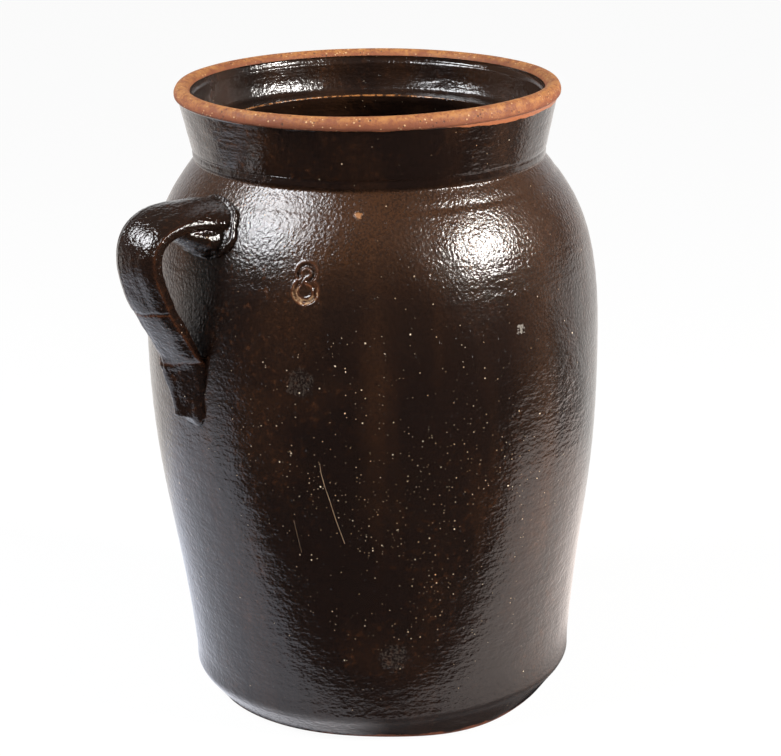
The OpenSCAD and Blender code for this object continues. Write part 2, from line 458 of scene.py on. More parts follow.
def turned_piece(node, sections, material):
    """Cuts a node's piece out of the jar's grid; hidden joint faces close it, and caps close the base."""
    closed = node != "base"
    rows = [i for s in sections for i in range(section_rows[s][0], section_rows[s][1] + 1)]
    rows = list(dict.fromkeys(rows))
    points = jar_points[rows].reshape(-1, 3)
    normals = jar_normals[rows].reshape(-1, 3)
    thin = jar_thin[rows].reshape(-1)
    count = len(columns)
    faces = []
    for row in range(len(rows) if closed else len(rows) - 1):
        faces.extend(quads(row * count, (row + 1) % len(rows) * count, count))
    if not closed:
        ends = [points[:count].mean(axis=0), points[-count:].mean(axis=0)]
        first = len(points)
        points = np.vstack([points, ends])
        normals = np.vstack([normals, [(0, 0, -1), (0, 0, 1)]])
        thin = np.append(thin, (0, 0))
        last_row = (len(rows) - 1) * count
        for k in range(count):
            after = (k + 1) % count
            faces.append((after, k, first))
            faces.append((last_row + k, last_row + after, first + 1))
    add_piece(node + "_turned", points, faces, thin, material, [node], normals)


# The strap handle's centre line, as in the frame: an arch from root to elbow, a fall to the wall, and a tail

strap_step = 1.2
strap_t = 9.5
root_drop = 21.5
root_sink = 5.0
root_half_w = 19.5
root_roundness = 0.5
edge_power = 0.42
root_t = 15.0
root_reach = 24.0
root_lift = 6.0
arch_rise = 14.5
elbow_drop = 32.0
meet_drop = 95.0
meet_t = 7.0
tail_len = 27.0
tail_half_w = 10.5
tail_t = 5.0
tail_sink = 1.0
strap_crown = 3.3
strap_waist = 1.6
strap_inset = 0.3
flare_reach = 20.0
crease_pinch = 0.6
elbow_inset = 0.2
crease_h = 245.0
fold_h = 214.0
ring_turn = np.linspace(0, 2 * math.pi, 48, endpoint=False)
ring_cos = np.cos(ring_turn)
ring_sin = np.sin(ring_turn)
pad_turn = np.linspace(0, 2 * math.pi, 72, endpoint=False)
voxel = 0.8
smooth_passes = 4

# Clay under the root, as rings (distance off the wall, height, half height, half width)
web_h = 276.5
web_rings = [
    (-4, 276.5, 10.5, 18), (6, 279.0, 8.5, 16), (14, 282.0, 6.0, 13), (21, 284.5, 3.5, 10),
    (25, 286.0, 1.5, 6)]

# Pads of clay at the root and the tail, as rings (share of the outline, distance off the wall), and waves
# (depth, count, phase) along their edges
root_profile = [
    (1.0, -3.0), (1.0, 0.8), (0.985, 2.4), (0.94, 2.7), (0.88, 1.2), (0.7, 2.0), (0.45, 6.0), (0.05, 7.0)]
tail_profile = [(1.0, -2.5), (1.0, 0.4), (0.93, 1.2), (0.8, 1.8), (0.5, 3.0), (0.05, 3.2)]
pad_waves = [(0.05, 3, 0.6), (0.03, 7, 2)]
root_pad_h = 281.7
tail_pad_rise = 8.0

# Relief of the handle
broad_lumps = 0.28
fine_lumps = 0.08
lower_lumps = 0.3
pull_lines = 0.09
outer_rail_rise = 0.5
inner_rail_rise = 0.3
far_line_rise = 0.4
hollow_deep = 0.5
web_lumps = 1.2
crease_deep = 0.6
fold_deep = 0.45
panel_deep = 0.3
edge_wander = 1.6
rail_thin = 0.45
crease_thin = 0.6
fold_thin = 0.25

root_h = neck_h - root_drop
meet_h = neck_h - meet_drop
tail_h = meet_h - tail_len


def handle_line():
    """Centre line of the handle as (radius, height), with even steps."""
    start = np.array([wall_r(root_h + root_lift) - root_sink, root_h + root_lift])
    elbow = np.array([strap_reach - elbow_inset - strap_t / 2, neck_h - elbow_drop])
    meet = np.array([wall_r(meet_h) + meet_t / 2 + 0.6, meet_h])
    end = np.array([wall_r(tail_h) + tail_t / 2 - tail_sink, tail_h])
    fall = 0.33 * (elbow[1] - meet_h)
    arch = bezier(
        start, start + [0.33 * (elbow[0] - start[0]), 0.7 * (arch_rise - root_lift)],
        (elbow[0], root_h + arch_rise), elbow, 60)
    drop = bezier(elbow, elbow - [0, fall], meet + [0.3 * (elbow[0] - meet[0]), fall], meet, 60)
    tail = bezier(meet, meet - [tail_sink, tail_len / 3], end + [0, tail_len / 3], end, 30)
    return spaced(np.vstack([arch, drop[1:], tail[1:]]), strap_step)


strap_line = handle_line()
strap_along = directions(strap_line)
strap_out = strap_along[:, ::-1] * (-1, 1)
strap_length = np.concatenate([[0], np.cumsum(np.linalg.norm(np.diff(strap_line, axis=0), axis=1))])
end_s = strap_length[-1]
elbow_s = strap_length[np.argmax(strap_line[:, 0])]


def fall_s(height):
    """Distance along the strap at which its falling part passes a height."""
    falling = strap_length >= elbow_s
    return float(np.interp(-height, -strap_line[falling, 1], strap_length[falling]))


meet_s = fall_s(meet_h)
crease_s = fall_s(crease_h)
fold_s = fall_s(fold_h)

# Degrees that the strap rolls to about its own line, each between two places along it
strap_rolls = [
    (13, 0, 14), (8, elbow_s - 28, elbow_s), (15, elbow_s + 4, crease_s - 4),
    (13, crease_s - 3, crease_s + 3), (25, fold_s - 4, fold_s + 2.5)]


def strap_sizes(s):
    """Half width, thickness and roll of the strap at distances along it."""
    flare = smooth(s, flare_reach, 0)
    root = smooth(s, root_reach, 2)
    lower = smooth(s, elbow_s + 2, crease_s + 2)
    tail = smooth(s, fold_s, end_s - 4)
    half = strap_half_w - strap_inset + (root_half_w - strap_half_w) * flare - strap_waist * lower
    half = half + (tail_half_w - strap_half_w + strap_waist) * tail
    pinch = smooth(s, crease_s - 1, crease_s + 1.5) - smooth(s, crease_s + 5, crease_s + 18)
    half = half - crease_pinch * pinch
    thick = strap_t + (root_t - strap_t) * root
    thick = thick + (meet_t - strap_t) * smooth(s, crease_s, meet_s) + (tail_t - meet_t) * tail
    roll = 0 * s
    before = 0
    for degrees, low, high in strap_rolls:
        roll = roll + math.radians(degrees - before) * smooth(s, low, high)
        before = degrees
    return half, thick, roll


def strap_loft():
    """Rings of the strap along its line, from inside the shoulder to the tail's end."""
    s = strap_length[:, None]
    half, thick, roll = strap_sizes(s)
    power = edge_power + root_roundness * smooth(s, 36, 10)
    across = half * np.sign(ring_cos) * np.abs(ring_cos) ** power
    outward = np.sign(ring_sin) * np.abs(ring_sin) ** power
    crown = strap_crown * (1 - 0.75 * smooth(s, fold_s - 4, fold_s + 5))
    level = outward * (thick - crown) / 2 - crown / 2
    level = level + np.where(outward > 0, crown * (1 - (across / half) ** 2), 0)
    lateral = across * np.cos(roll) - level * np.sin(roll)
    lift = level * np.cos(roll) + across * np.sin(roll)
    reach, height = (strap_line[:, k, None] + strap_out[:, k, None] * lift for k in range(2))
    return np.stack([-reach, lateral, height], axis=-1)


def loft_faces(ring_count, ring_size):
    """Faces that join rings into a closed skin."""
    faces = []
    for i in range(ring_count - 1):
        faces.extend(quads(i * ring_size, (i + 1) * ring_size, ring_size))
    faces.append(tuple(range(ring_size - 1, -1, -1)))
    faces.append(tuple((ring_count - 1) * ring_size + k for k in range(ring_size)))
    return faces


def pad(middle_h, half_near, half_far, up, down, profile):
    """A lobe of clay smeared onto the wall: closed rings at shares of its wavy outline."""
    wave = 1 + sum(depth * np.sin(count * pad_turn + phase) for depth, count, phase in pad_waves)
    across = np.where(np.sin(pad_turn) > 0, half_near, half_far) * wave * np.sin(pad_turn)
    rise = np.where(np.cos(pad_turn) > 0, up, down) * wave * np.cos(pad_turn)
    share, stand = np.array(profile).T[:, :, None]
    slope = (wall_r(middle_h + 2) - wall_r(middle_h - 2)) / 4
    height = middle_h + share * rise / math.hypot(1, slope)
    return np.stack(off_wall(math.pi + share * across / wall_r(height), height, stand), axis=-1)


def root_web():
    """Clay smeared from the wall up under the strap's root, as rings from the wall outwards."""
    out, middle_h, half_tall, half_wide = np.array(web_rings).T[:, :, None]
    reach = wall_r(web_h) + out + 0 * ring_cos
    return np.stack([-reach, half_wide * ring_cos, middle_h + half_tall * ring_sin], axis=-1)


def fused(shells):
    """Closed skins of rings grown together and smoothed, as points, normals and faces."""
    points = []
    faces = []
    for rings in shells:
        first = len(points)
        points.extend(rings.reshape(-1, 3).tolist())
        faces.extend(tuple(first + v for v in face) for face in loft_faces(*rings.shape[:2]))
    mesh = bpy.data.meshes.new("fusing")
    mesh.from_pydata(points, [], faces)
    worked = placed("fusing", mesh)
    remesh = worked.modifiers.new("fuse", "REMESH")
    remesh.mode = "VOXEL"
    remesh.voxel_size = voxel
    soften = worked.modifiers.new("soften", "SMOOTH")
    soften.factor = 0.5
    soften.iterations = smooth_passes
    result = bpy.data.meshes.new_from_object(worked.evaluated_get(bpy.context.evaluated_depsgraph_get()))
    bpy.data.objects.remove(worked)
    points = np.array([v.co for v in result.vertices])
    normals = np.array([v.normal for v in result.vertices])
    faces = [tuple(p.vertices) for p in result.polygons]
    bpy.data.meshes.remove(result)
    return points, normals, faces


def handle_places(points):
    """Each point's distance along the strap, across it and outwards from its centre line, in its own roll."""
    flat = points[:, [0, 2]] * (-1, 1)
    nearest = np.argmin(((flat[:, None, :] - strap_line[None]) ** 2).sum(axis=2), axis=1)
    away = flat - strap_line[nearest]
    along = strap_length[nearest] + (away * strap_along[nearest]).sum(axis=1)
    lift = (away * strap_out[nearest]).sum(axis=1)
    roll = strap_sizes(strap_length)[2][nearest]
    across = points[:, 1] * np.cos(roll) + lift * np.sin(roll)
    return along, across, lift * np.cos(roll) - points[:, 1] * np.sin(roll)


def handle_relief(points):
    """How far the handle's skin is pushed out at points on it, and how thin its glaze runs there."""
    along, across, outward = handle_places(points)
    half, thick, _ = strap_sizes(along)
    face_out = smooth(outward, 0, 2.5)
    on_strap = smooth(along, 18, 34) * smooth(along, meet_s + 6, fold_s)
    rail = bump_at(np.abs(across), half - 0.6, 0.8)
    outer_rail = rail * bump_at(outward, thick / 2 - strap_crown, 0.7)
    inner_rail = rail * bump_at(outward, -thick / 2 + 0.4, 0.7)
    hollow = bump_at(across, -1, 6) * face_out
    far_line = bump_at(across, half * 0.72, 0.9) * face_out
    wander = edge_wander * lumps(zip(across, along * 0, along * 0), 9, 11)
    crease = bump_at(along + wander, crease_s, 0.9) * face_out
    crease_edge = bump_at(along + wander, crease_s + 1.0, 0.5) * face_out
    fold = bump_at(along + wander, fold_s, 0.9) * face_out
    panel = smooth(np.abs(across + 0.5 + wander), 9.5, 5.0) * smooth(along, fold_s - 9, fold_s + 6)
    panel = panel * smooth(along, end_s - 4, end_s - 8) * smooth(outward, 0, 1.5)
    webs = lumps(zip(points[:, 1], along * 0.3, outward * 0.3), 5.5, 21)
    under_root = smooth(along, 44, 16) * smooth(outward, 2, -8)
    pulled = lumps(zip(across, along * 0.08, outward * 0.5), 3.6, 17)
    lift = broad_lumps * lumps(points, 11, 2) + fine_lumps * lumps(points, 4.5, 8)
    lift += lower_lumps * lumps(points, 7.5, 31) * smooth(along, crease_s, crease_s + 8)
    lift += (outer_rail_rise * outer_rail + inner_rail_rise * inner_rail) * on_strap
    lift += (far_line_rise * far_line - hollow_deep * hollow + pull_lines * pulled) * on_strap
    lift += web_lumps * webs * under_root
    lift -= crease_deep * crease + fold_deep * fold + panel_deep * panel
    thin = rail_thin * (outer_rail + inner_rail) * on_strap + crease_thin * crease_edge + fold_thin * fold
    return lift, np.clip(thin, 0, 1)


def handle_shape():
    """The strap with its thumbed root and pressed tail: points, faces and how thin its glaze runs."""
    root_pad = pad(root_pad_h, half_near=24.5, half_far=21.5, up=17.5, down=16, profile=root_profile)
    tail_pad = pad(tail_h + tail_pad_rise, half_near=9.5, half_far=14.5, up=15, down=13, profile=tail_profile)
    points, normals, faces = fused([strap_loft()[:, ::-1], root_web(), root_pad, tail_pad])
    lift, thin = handle_relief(points)
    return points + normals * lift[:, None], faces, thin


# Materials


class Wire:
    """What a node gives to others; sums and products of wires add the nodes that work them out."""

    def __init__(self, shader, socket):
        self.shader = shader
        self.socket = socket

    def __add__(self, other):
        return self.shader.math("ADD", self, other)

    def __mul__(self, other):
        return self.shader.math("MULTIPLY", self, other)

    __radd__ = __add__
    __rmul__ = __mul__

    def eased(self, low, high, to_low=0.0, to_high=1.0):
        """An eased step from low to high, held outside them; low may be the larger."""
        limits = {"Value": self, "From Min": low, "From Max": high, "To Min": to_low, "To Max": to_high}
        return self.shader.wire("MapRange", limits, interpolation_type="SMOOTHSTEP")


class Shader:
    """A node tree, with short calls for the kinds of node used here."""

    def __init__(self, tree, coordinates="Object"):
        self.tree = tree
        tree.nodes.clear()
        self.place = self.wire("TexCoord", output=coordinates)

    def node(self, kind, inputs=None, **settings):
        """A new node; each input takes a value or the wire that feeds it."""
        made = self.tree.nodes.new("ShaderNode" + kind)
        for key, value in settings.items():
            setattr(made, key, value)
        for key, value in (inputs or {}).items():
            if isinstance(value, Wire):
                self.tree.links.new(value.socket, made.inputs[key])
            else:
                made.inputs[key].default_value = value
        return made

    def wire(self, kind, inputs=None, output=0, **settings):
        """One of the things that a new node gives."""
        return Wire(self, self.node(kind, inputs, **settings).outputs[output])

    def math(self, operation, a, b=0.0, c=0.0):
        return self.wire("Math", {0: a, 1: b, 2: c}, operation=operation)

    def most(self, *numbers):
        return reduce(lambda a, b: self.math("MAXIMUM", a, b), numbers)

    def vector(self, operation, a, b=(0, 0, 0), output="Value"):
        return self.wire("VectorMath", {0: a, 1: b}, output, operation=operation)

    def parts(self, whole, kind="SeparateXYZ"):
        """The three parts of a vector or a colour."""
        return [Wire(self, socket) for socket in self.node(kind, {0: whole}).outputs]

    def mix(self, share, a, b):
        """Colour a with a share of colour b."""
        return self.wire("Mix", {0: share, 6: a, 7: b}, 2, data_type="RGBA")

    def layers(self, color, *coats):
        """A colour with others laid over it in turn, each as (share, colour)."""
        for share, over in coats:
            color = self.mix(share, color, over)
        return color

    def grain(self, scale, detail=2.0, stretch=(1, 1, 1), roughness=0.5):
        """Noise whose scale is in features per metre."""
        place = self.wire("Mapping", {"Vector": self.place, "Scale": stretch})
        return self.wire(
            "TexNoise", {"Vector": place, "Scale": scale, "Detail": detail, "Roughness": roughness})

    def spots(self, scale, share, size, softness=0.4):
        """Round spots in a share of a random pattern's cells, and a shade for each; size is in cells."""
        cells = self.node("TexVoronoi", {"Vector": self.place, "Scale": scale})
        chance = self.parts(Wire(self, cells.outputs["Color"]), "SeparateColor")
        chosen = self.math("LESS_THAN", chance[0], share)
        reach = self.math("MULTIPLY_ADD", chance[1], size, size * 0.4)
        near = self.math("DIVIDE", Wire(self, cells.outputs["Distance"]), reach)
        return chosen * near.eased(1, 1 - softness), chance[2]

    def away_from(self, point):
        """Distance in metres from a point."""
        return self.vector("DISTANCE", self.place, point)

    def away_from_line(self, places):
        """Distance in metres from a line of straight pieces between places on the wall."""
        points = [wall_point(*place) for place in places]
        pieces = []
        for a, b in zip(points[:-1], points[1:]):
            along = b - a
            offset = self.vector("SUBTRACT", self.place, a, "Vector")
            share = self.vector("DOT_PRODUCT", offset, along / along.length_squared)
            share = self.most(self.math("MINIMUM", share, 1.0), 0.0)
            foot = self.wire("VectorMath", {0: along, "Scale": share}, operation="SCALE")
            pieces.append(self.vector("DISTANCE", offset, foot))
        return reduce(lambda a, b: self.math("MINIMUM", a, b), pieces)

    def surface(self, color, roughness, height, ior, coat=0.0, coat_roughness=0.0):
        """Ends the tree in a solid surface; height is its relief in metres."""
        normal = self.wire("Bump", {"Height": height, "Distance": 1.0})
        made = self.wire(
            "BsdfPrincipled", {
                "Base Color": color, "Roughness": roughness, "IOR": ior, "Normal": normal,
                "Coat Weight": coat, "Coat Roughness": coat_roughness, "Coat Normal": normal})
        self.node("OutputMaterial", {"Surface": made})


def new_material(name):
    """A material and the shader that fills it."""
    material = bpy.data.materials.new(name)
    material.use_nodes = True
    return material, Shader(material.node_tree)


def height_of(shader):
    """Height above the floor, in metres."""
    return shader.parts(shader.place)[2]


def side_of(shader):
    """Distance to the right of the jar's axis in the photograph, in metres."""
    return shader.vector("DOT_PRODUCT", shader.place, Vector((*view_right, 0)))


def level_of(shader):
    """Height on the tilted rim: the same all along one of its rows, in metres."""
    return shader.math("MULTIPLY_ADD", side_of(shader), -rim_tilt, height_of(shader))


def radius_of(shader):
    """Distance from the jar's axis, in metres."""
    return shader.vector("LENGTH", shader.vector("MULTIPLY", shader.place, (1, 1, 0), "Vector"))


glaze_ior = 1.40
glaze_coat = 0.5
coat_roughness = 0.05
glaze_dark = (0.0085, 0.0046, 0.0034, 1)
glaze_brown = (0.0385, 0.0164, 0.0073, 1)
glaze_warm = (0.08, 0.03, 0.012, 1)
glaze_thin = (0.115, 0.038, 0.015, 1)
glaze_chip = (0.3, 0.27, 0.23, 1)
speck_orange = (0.55, 0.25, 0.1, 1)
speck_tan = (0.58, 0.385, 0.215, 1)
speck_white = (0.76, 0.64, 0.47, 1)
clay_ior = 1.5
clay_orange = (0.242, 0.0775, 0.0212, 1)
clay_pale = (0.333, 0.134, 0.0405, 1)
clay_gold_and_highlight = (0.44, 0.205, 0.0535, 1)
clay_wiped = (0.28, 0.085, 0.028, 1)
clay_rust = (0.17, 0.044, 0.015, 1)
clay_sand = (0.74, 0.48, 0.24, 1)
clay_iron = (0.07, 0.026, 0.013, 1)

# Roughness that the glaze gains, and the roughness of what lies bare
shoulder_haze = 0.17
inside_haze = 0.17
dull_haze = 0.12
bare_roughness = 0.75
chip_roughness = 0.5

# Depth of the glaze's relief and marks
peel_depth = 0.15
ripple_depth = 0.24
streak_depth = 0.35
swell_depth = 0.45
speck_rise = 0.10
blister_rise = 0.6
scratch_depth = 0.15
chip_depth = 0.3
dull_depth = 0.22
pit_depth = 0.12

# Depth of the bare clay's sand
sand_depth = 0.30
pale_grain_rise = 0.1
dark_grain_depth = 0.2

# Heights between which the glaze turns to the shoulder's finish and brown, in metres
finish_band = (0.160, 0.290)
brown_band = (0.245, 0.295)

# Distances right of the axis between which the wiped clay comes to reach lower, and how far, in metres
wiped_band = (0.030, 0.075)
wiped_drop = 0.0022

# Marks on the wall, each at degrees left of the camera's direction and a height
scratch_long = [(13.5, 167.5), (13.3, 162.0), (12.6, 155.0), (11.5, 146.5), (10.3, 136.0), (8.4, 122.1)]
scratch_short = [(21.2, 133.7), (19.9, 115.0)]
dull_marks = [(17.6, 210.8), (-3.5, 52.9)]
speck_middle = (-6.0, 150.0)
star_chip = (-38.5, 229.9)
blister = (3.3, 294.6)
crumple = (-48.0, 192.0)
# Places beside the handle where the brown is held back: a painted shade where the handle's shadow and dark
# reflection fall
handle_shade_places = [(33.0, 274.0), (38.0, 250.0), (45.0, 212.0)]
foot_wear_r = 97.0
foot_wear = Matrix.Rotation(wall_angle(foot_lobe_left), 3, "Z") @ Vector((foot_wear_r * MM, 0, 0))


def glaze_material(name, peel_share, brown_share, haze_share):
    """Dark brown slip glaze: glossy, orange-peeled, streaked, with pale specks, wear and scratches."""
    material, shader = new_material(name)
    height = height_of(shader)
    level = level_of(shader)
    below_neck = level.eased((neck_h + 2.5) * MM, (neck_h - 0.5) * MM)
    shoulder = height.eased(*finish_band) * below_neck
    collar = level.eased(neck_h * MM, (neck_h + 3) * MM)
    inside = collar * radius_of(shader).eased(neck_r * MM, (neck_r - 0.4) * MM)
    specks, speck_color = glaze_specks(shader)
    scratched, chipped, blistered, dull = glaze_marks(shader)
    bare, wiped, worn = glaze_bare(shader, height, level)
    mottled = dull * shader.grain(800, 2).eased(0.42, 0.62, 0.0, 0.06)
    color = shader.layers(
        glaze_color(shader, height, shoulder, brown_share), (specks, speck_color),
        (scratched * 0.5, speck_tan), (chipped * 0.5, glaze_chip), (mottled, glaze_chip),
        (blistered * 0.42, speck_orange), (bare, clay_rust), (wiped, clay_wiped), (worn * 0.8, clay_pale))

    rough = shader.grain(38, 4).eased(0.3, 0.75, 0.05, 0.13)
    rough = rough + shoulder * (shoulder_haze * haze_share) + inside * inside_haze + dull * dull_haze
    rough = shader.most(rough, shader.most(bare, wiped) * bare_roughness, chipped * chip_roughness)

    crumpled = shader.away_from(wall_point(*crumple)).eased(0.034, 0.012)
    peeled = (1.35 + shoulder * 1.65 + inside) * peel_share
    peel = shader.grain(560, 3) * peeled * (peel_depth * MM)
    rippled = 1.25 + shoulder * -0.9 + crumpled * 2.0 + collar * -0.4 + inside * 0.2
    ripple = shader.grain(230, 2, stretch=(1, 1, 2)) * rippled * (peel_share * ripple_depth * MM)
    streaks = shader.grain(60, 2, stretch=(1, 1, 6)) * collar * (streak_depth * MM)
    swell = shader.grain(60, 1) * (1.0 + inside * 1.8) * (peel_share * swell_depth * MM)
    pits, _ = shader.spots(260, 0.3, 0.14)
    raised = specks * (speck_rise * MM) + blistered * (blister_rise * MM)
    raised = raised + dull * shader.grain(600, 2) * (dull_depth * MM)
    sunk = scratched * (-scratch_depth * MM) + chipped * (-chip_depth * MM) + pits * (-pit_depth * MM)
    relief = peel + ripple + streaks + swell + raised + sunk
    shader.surface(color, rough, relief, glaze_ior, glaze_coat, coat_roughness)
    return material


def glaze_color(shader, height, shoulder, brown_share):
    """The glaze's brown: warmer on the shoulder, in runs down the wall and where it lies thin, with a fine
    speckle that is partly painted glints, and held back beside the handle as painted shade.
    """
    cloud = shader.grain(13, 4, roughness=0.6)
    fine = shader.grain(320, 3)
    streak = shader.grain(46, 3, stretch=(1, 1, 0.12))
    drip = shader.grain(15, 2, stretch=(1, 1, 0.06))
    # Fine speckle in the brown: partly grain in the glaze, partly painted glints of reflection
    brown_grain_and_glints = shader.grain(800, 3, roughness=0.65).eased(0.36, 0.64, 0.55, 1.4)
    patchy = shader.grain(900, 3).eased(0.36, 0.6, 0.2, 1.0)
    brown = shoulder * height.eased(*brown_band, 0.22, 0.82)
    brown = brown + drip.eased(0.46, 0.72, 0, 0.38) + cloud.eased(0.42, 0.75, 0, 0.3)
    brown = shader.math("MINIMUM", shader.most(brown + streak.eased(0.45, 0.8, -0.06, 0.22), 0.0), 1.0)
    # Painted shade: less brown along the wall beside the handle, where the handle's shadow and dark
    # reflection fall
    painted_handle_shade = shader.away_from_line(handle_shade_places).eased(0.010, 0.034, 0.15, 1.0)
    thin = shader.wire("Attribute", output="Fac", attribute_name="thin") * fine.eased(0.35, 0.6, 0.35, 1.0)
    return shader.layers(
        glaze_dark, (brown * brown_grain_and_glints * painted_handle_shade * brown_share, glaze_brown),
        (fine.eased(0.52, 0.78) * cloud.eased(0.4, 0.65) * 0.4, glaze_warm),
        (thin, glaze_thin), (thin.eased(0.45, 0.85, 0, 0.65) * patchy, speck_tan))


def glaze_specks(shader):
    """Pale and orange specks, thick over the middle of the front and thin elsewhere."""
    front = shader.away_from(wall_point(*speck_middle)).eased(0.125, 0.03)
    crowd = front * shader.grain(24, 2).eased(0.38, 0.6, 0.3, 1.0) + 0.05
    tiny, tiny_shade = shader.spots(560, crowd * 0.66, 0.165)
    small, shade = shader.spots(330, crowd * 0.50, 0.125)
    large, large_shade = shader.spots(120, crowd * 0.30, 0.068)
    faint = small * shade.eased(0.0, 0.9, 0.3, 1.0)
    fainter = tiny * tiny_shade.eased(0.0, 1.0, 0.1, 0.6)
    pale = shader.mix(shade, speck_tan, speck_white)
    bright = shader.mix(large_shade, speck_orange, speck_white)
    return shader.most(fainter, faint, large), shader.mix(large, pale, bright)


def glaze_marks(shader):
    """Masks of scratches, a chip, a blister and dull patches."""
    broken = shader.grain(200, 2).eased(0.30, 0.44, 0.45, 1.0)
    long_mark = shader.away_from_line(scratch_long).eased(0.00022, 0.00004)
    short_mark = shader.away_from_line(scratch_short).eased(0.00024, 0.00005)
    scratched = shader.most(long_mark, short_mark * 0.3) * broken
    ragged = shader.grain(420, 2).eased(0.2, 0.8, -0.0022, 0.0022)
    chipped = (shader.away_from(wall_point(*star_chip)) + ragged).eased(0.0022, 0.0012)
    blistered = (shader.away_from(wall_point(*blister)) + ragged * 0.4).eased(0.0024, 0.0014)
    dull = [(shader.away_from(wall_point(*mark)) + ragged).eased(0.0085, 0.0060) for mark in dull_marks]
    return scratched, chipped, blistered, shader.most(*dull)


def glaze_bare(shader, height, level):
    """Masks of where no glaze holds: under the foot, along the wiped rim, in dots on the lid ledge's edge."""
    ragged = shader.grain(70, 3)
    radius = radius_of(shader)
    drop = side_of(shader).eased(*wiped_band, 0, wiped_drop)
    wiped_level = level + ragged.eased(0.3, 0.7, -0.0005, 0.0005) + drop
    wiped = wiped_level.eased((rim_low - 0.1) * MM, (rim_low + 0.3) * MM)
    outside = shader.math("GREATER_THAN", radius, (collar_top_r - 4) * MM)
    worn_foot = shader.away_from(foot_wear).eased(0.08, 0.03, 0, -0.0010)
    foot = (height + (ragged.eased(0.3, 0.7, -0.0008, 0.0008) + worn_foot)).eased(0.0022, 0.0004)
    edge_away = shader.math("ABSOLUTE", radius + -(throat_r + 0.5) * MM)
    edge_drop = shader.math("ABSOLUTE", level + -(ledge_h - 0.9) * MM)
    ledge_edge = edge_away.eased(0.0007, 0.0003) * edge_drop.eased(0.0010, 0.0005)
    dots = shader.grain(520, 2).eased(0.43, 0.58, 0.1, 1.0)
    return foot, wiped * outside, ledge_edge * dots


def clay_material():
    """Bare stoneware of the rim: orange-brown, sandy, with pale and dark grains, a golden top that is partly
    a painted highlight, and a darker, rust-coloured lower edge.
    """
    material, shader = new_material("bare_clay")
    level = level_of(shader)
    cloud = shader.grain(40, 4, roughness=0.6)
    sand = shader.grain(900, 3, roughness=0.7)
    mottle = shader.grain(380, 4, roughness=0.75)
    # Golden tone on the rim's top face: partly clay colour, partly a painted highlight
    top = level.eased((rim_top - 3.4) * MM, (rim_top - 0.8) * MM, 0.0, 0.5)
    ragged = shader.grain(60, 3).eased(0.3, 0.7, -0.0010, 0.0010)
    low_edge = (level + ragged).eased((rim_low + 4.4) * MM, (rim_low + 1.2) * MM)
    scorched = shader.grain(110, 4, roughness=0.7).eased(0.45, 0.64, 0.0, 0.75)
    pale, _ = shader.spots(700, 0.22, 0.34)
    dark, _ = shader.spots(520, 0.24, 0.30)
    color = shader.layers(
        clay_orange, (cloud.eased(0.38, 0.68), clay_pale), (sand.eased(0.40, 0.60, 0.6, 0.0), clay_rust),
        (top * mottle.eased(0.34, 0.6, 0.4, 1.0), clay_gold_and_highlight), (mottle.eased(0.52, 0.38, 0, 0.7), clay_rust),
        (low_edge * 0.9, clay_rust), (scorched, clay_rust), (pale * 0.5, clay_sand), (dark * 0.8, clay_iron))
    relief = sand * (sand_depth * MM) + pale * (pale_grain_rise * MM) + dark * (-dark_grain_depth * MM)
    shader.surface(color, sand.eased(0.3, 0.7, 0.6, 0.85), relief, clay_ior)
    return material


# Pieces

turned_sections = [
    ("base", ["underside", "bevel", "floor"]), ("lower_wall", ["heel", "lower", "inner_lower", "corner"]),
    ("upper_wall", ["upper", "inner_upper"]), ("collar", ["collar_out", "collar_in"])]
glaze = glaze_material("brown_glaze", peel_share=1.0, brown_share=1.0, haze_share=1.0)
handle_glaze = glaze_material("handle_glaze", peel_share=1.2, brown_share=0.1, haze_share=0.12)
clay = clay_material()
figure_away = away_from_figure()
jar_points, jar_normals = jar_grid()
jar_thin = thin_glaze()
for node, sections in turned_sections:
    turned_piece(node, sections, glaze)
turned_piece("rim", ["rim"], clay)
handle_points, handle_faces, handle_thin = handle_shape()
add_piece(
    "handle_pulled", handle_points, handle_faces, handle_thin, handle_glaze,
    ["strap_handle", "handle_root", "handle_tail"])

# Stage: a white floor and surround, dark in front of the jar where reflections look back to the viewer.
# Its sizes are in metres

floor_size = 8.0
floor_sink = 0.0002
floor_pale = (0.9, 0.9, 0.9, 1)
floor_white_share = 0.95
table_edge = (-0.143, -0.131)
table_flare = 0.065
table_right_end = (0.49, 0.43)
table_left_end = (-0.79, -0.49)
table_behind = (0.20, 0.40)
# How dark the painted shadow by the foot's right side is in the reflected table
foot_shade = 0.15
white = (1, 1, 1, 1)
studio_dark = (0.02, 0.02, 0.022, 1)
studio_side = (0.13, 0.125, 0.12, 1)
studio_above = (0.075, 0.075, 0.075, 1)
studio_behind = (0.70, 0.70, 0.71, 1)
backdrop_top = (0.55, 0.35)
table_left = (0.91, 0.95, 1.07, 1)
table_right = (1.28, 1.14, 1.07, 1)
table_far = (0.88, 0.84, 0.81, 1)


def turned_to_view(shader):
    """The place in the photograph's frame, as its three parts."""
    turn = {"Vector": shader.place, "Angle": -view_turn}
    return shader.parts(shader.wire("VectorRotate", turn, rotation_type="Z_AXIS"))


